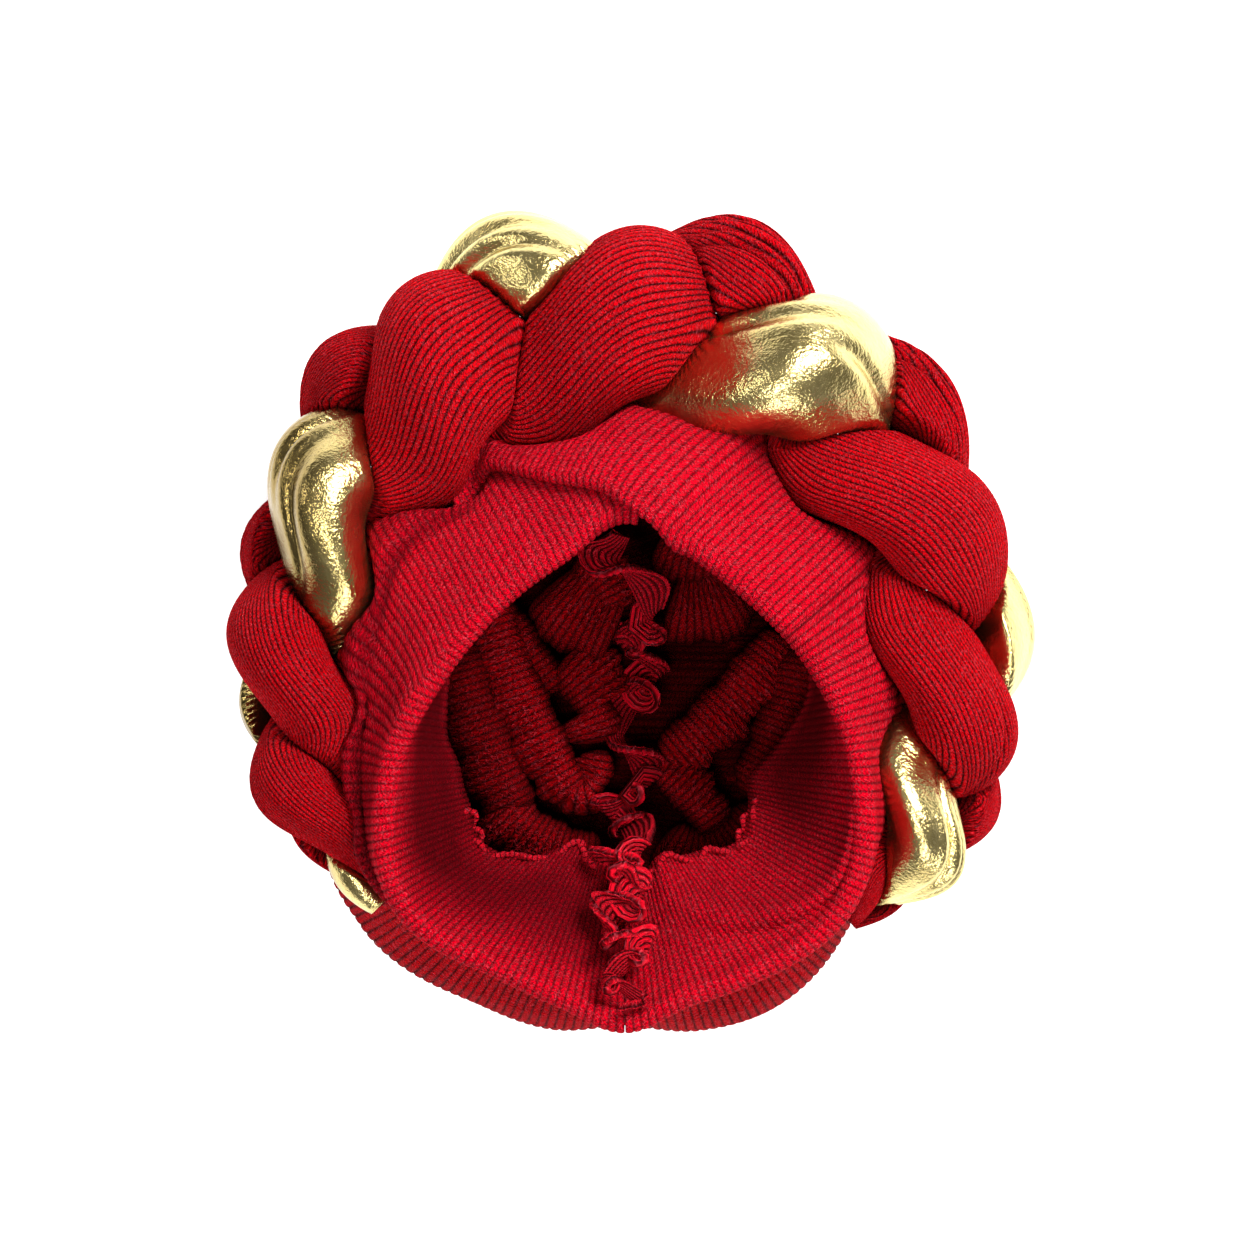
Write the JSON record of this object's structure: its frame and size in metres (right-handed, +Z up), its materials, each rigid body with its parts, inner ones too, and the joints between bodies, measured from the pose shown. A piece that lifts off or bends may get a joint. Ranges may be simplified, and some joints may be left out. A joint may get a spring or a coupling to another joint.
{
  "type": "turban headwrap",
  "caption": "Soft ribbed-knit turban headwrap with crossed forehead wraps and a thick plait of knit and foil cloth round its front and sides, lying on its crown.",
  "frame": {"origin": "middle of the base of the headwrap's bounding box, on the surface that it lies on", "axes": "+Z up through the head opening, +Y towards the forehead, +X towards the picture's right"},
  "size_m": [0.2833, 0.2858, 0.138],
  "materials": {
    "crown_knit": "matt red ribbed stretch knit",
    "wrap_knit": "matt bright red ribbed stretch knit",
    "strand_knit": "matt red ribbed stretch knit",
    "gold_cloth": "shiny pale gold foil-coated cloth",
    "seam_knit": "matt red knit with an overlocked edge"
  },
  "bodies": {
    "root": {"crown": "crown_knit", "left_wrap": "wrap_knit", "right_wrap": "wrap_knit", "first_red_strand": "strand_knit", "second_red_strand": "strand_knit", "gold_strand": "gold_cloth", "centre_seam_ruffle": "seam_knit"}
  },
  "joints": []
}
